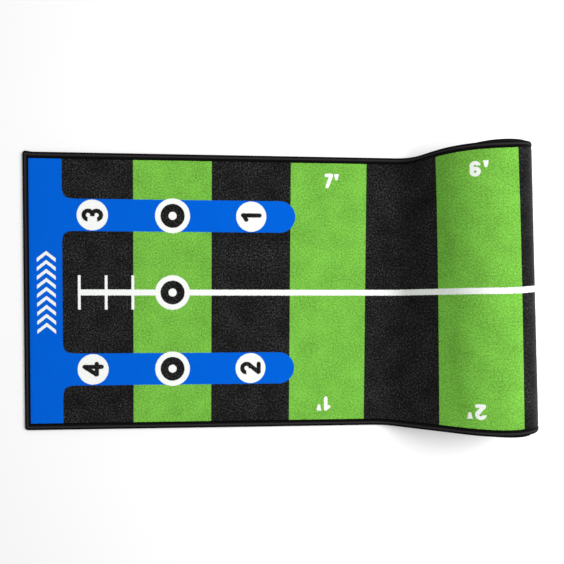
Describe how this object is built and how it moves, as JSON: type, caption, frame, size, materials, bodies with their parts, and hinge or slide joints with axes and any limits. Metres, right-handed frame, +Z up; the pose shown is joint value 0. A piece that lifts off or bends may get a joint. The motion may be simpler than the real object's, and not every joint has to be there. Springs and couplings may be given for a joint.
{
  "type": "practice putting mat",
  "caption": "Partly unrolled indoor putting mat: a printed pile strip with targets and distance marks on rubber, edges bound, its far part in a roll.",
  "frame": {"origin": "middle of the footprint, on the floor under the mat", "axes": "+X along the mat from its flat front end towards the roll, +Y towards its left side, +Z up"},
  "size_m": [0.9753, 0.5334, 0.14],
  "materials": {
    "turf": "short dense cut pile, printed",
    "backing": "woven synthetic cloth",
    "rubber": "matt, fine grain",
    "binding": "closely stitched yarn edge"
  },
  "bodies": {
    "lying": {"turf_lying": "turf", "backing_lying": "backing", "base_lying": "rubber", "binding_left_lying": "binding", "binding_right_lying": "binding"},
    "front_1": {"turf_front_1": "turf", "backing_front_1": "backing", "base_front_1": "rubber", "binding_left_front_1": "binding", "binding_right_front_1": "binding"},
    "front_2": {"turf_front_2": "turf", "backing_front_2": "backing", "base_front_2": "rubber", "binding_left_front_2": "binding", "binding_right_front_2": "binding"},
    "front_3": {"turf_front_3": "turf", "backing_front_3": "backing", "base_front_3": "rubber", "binding_left_front_3": "binding", "binding_right_front_3": "binding"},
    "front_4": {"turf_front_4": "turf", "backing_front_4": "backing", "base_front_4": "rubber", "binding_left_front_4": "binding", "binding_right_front_4": "binding"},
    "front_5": {"turf_front_5": "turf", "backing_front_5": "backing", "base_front_5": "rubber", "binding_left_front_5": "binding", "binding_right_front_5": "binding", "binding_front_end": "binding"},
    "foot_1": {"turf_foot_1": "turf", "backing_foot_1": "backing", "base_foot_1": "rubber", "binding_left_foot_1": "binding", "binding_right_foot_1": "binding"},
    "foot_2": {"turf_foot_2": "turf", "backing_foot_2": "backing", "base_foot_2": "rubber", "binding_left_foot_2": "binding", "binding_right_foot_2": "binding"},
    "roll": {"turf_ramp": "turf", "backing_ramp": "backing", "base_ramp": "rubber", "binding_left_ramp": "binding", "binding_right_ramp": "binding", "turf_windings": "turf", "backing_windings": "backing", "base_windings": "rubber", "binding_left_windings": "binding", "binding_right_windings": "binding", "binding_far_end": "binding"}
  },
  "joints": [
    {"name": "front_curl_1", "type": "hinge", "parent": "lying", "child": "front_1", "pos_m": [-0.18766, 0, 0.00566], "axis": [0, 1, 0], "range_deg": [0, 22]},
    {"name": "front_curl_2", "type": "hinge", "parent": "front_1", "child": "front_2", "pos_m": [-0.24766, 0, 0.00566], "axis": [0, 1, 0], "range_deg": [0, 22]},
    {"name": "front_curl_3", "type": "hinge", "parent": "front_2", "child": "front_3", "pos_m": [-0.30766, 0, 0.00566], "axis": [0, 1, 0], "range_deg": [0, 22]},
    {"name": "front_curl_4", "type": "hinge", "parent": "front_3", "child": "front_4", "pos_m": [-0.36766, 0, 0.00566], "axis": [0, 1, 0], "range_deg": [0, 22]},
    {"name": "front_curl_5", "type": "hinge", "parent": "front_4", "child": "front_5", "pos_m": [-0.42766, 0, 0.00566], "axis": [0, 1, 0], "range_deg": [0, 22]},
    {"name": "roll_lift_1", "type": "hinge", "parent": "lying", "child": "foot_1", "pos_m": [0.19934, 0, 0.00566], "axis": [0, -1, 0], "range_deg": [0, 12]},
    {"name": "roll_lift_2", "type": "hinge", "parent": "foot_1", "child": "foot_2", "pos_m": [0.23278, 0, 0.00905], "axis": [0, -1, 0], "range_deg": [0, 12]},
    {"name": "roll_lift_3", "type": "hinge", "parent": "foot_2", "child": "roll", "pos_m": [0.25885, 0, 0.02945], "axis": [0, -1, 0], "range_deg": [0, 12]}
  ],
  "couplings": [
    {"joint": "front_curl_2", "follows": "front_curl_1", "ratio": 1},
    {"joint": "front_curl_3", "follows": "front_curl_1", "ratio": 1},
    {"joint": "front_curl_4", "follows": "front_curl_1", "ratio": 1},
    {"joint": "front_curl_5", "follows": "front_curl_1", "ratio": 1},
    {"joint": "roll_lift_2", "follows": "roll_lift_1", "ratio": 1},
    {"joint": "roll_lift_3", "follows": "roll_lift_1", "ratio": 1}
  ]
}
